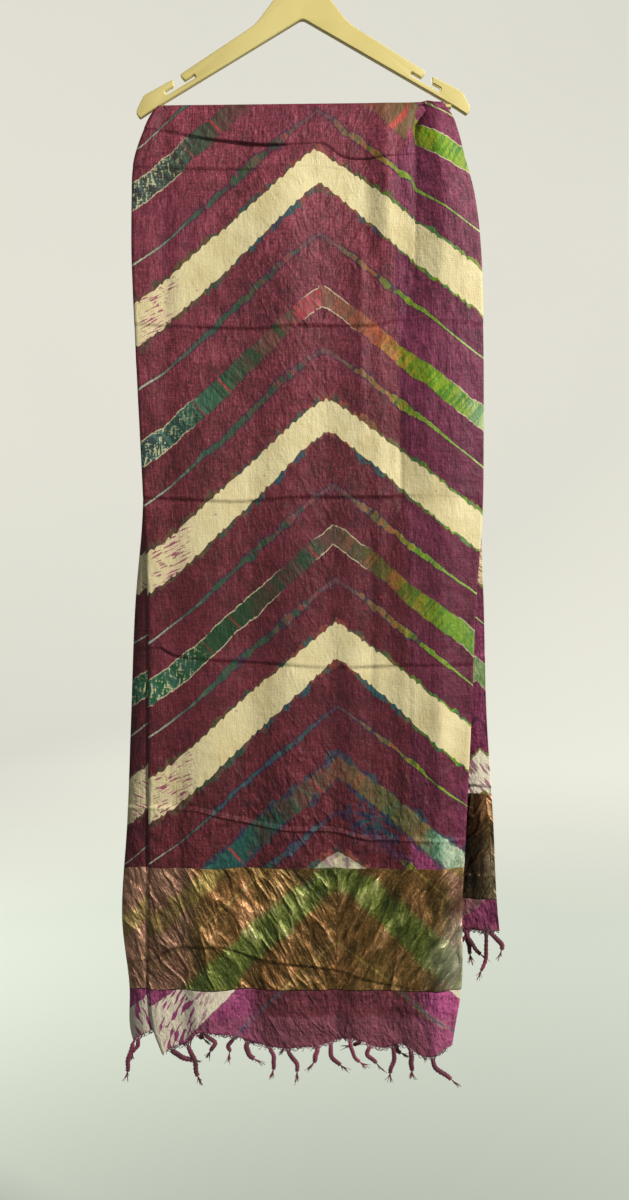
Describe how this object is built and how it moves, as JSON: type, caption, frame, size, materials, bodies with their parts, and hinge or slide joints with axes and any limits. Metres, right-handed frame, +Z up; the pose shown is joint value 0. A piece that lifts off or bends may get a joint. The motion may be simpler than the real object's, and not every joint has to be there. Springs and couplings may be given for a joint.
{
  "type": "dupatta stole hung over a clothes hanger",
  "caption": "Fringed silk stole folded in half along its length and hung over the bar of a flat moulded hanger with a wire hook.",
  "frame": {"origin": "crown of the hook's inner side, where a rail carries it", "axes": "+Z up, X along the hanger, the front of the cloth faces -Y"},
  "size_m": [0.5012, 0.0643, 1.5351],
  "materials": {
    "wine_silk": "hand-loomed silk, tie-dyed in cream and green chevrons, with a copper tissue border",
    "fringe_thread": "twisted warp ends",
    "hanger_plastic": "khaki beige, satin",
    "hook_steel": "bright wire"
  },
  "bodies": {
    "root": {"front_fall": "wine_silk", "back_fall": "wine_silk", "front_fringe": "fringe_thread", "back_fringe": "fringe_thread", "hanger_frame": "hanger_plastic", "hanger_hook": "hook_steel"}
  },
  "joints": []
}
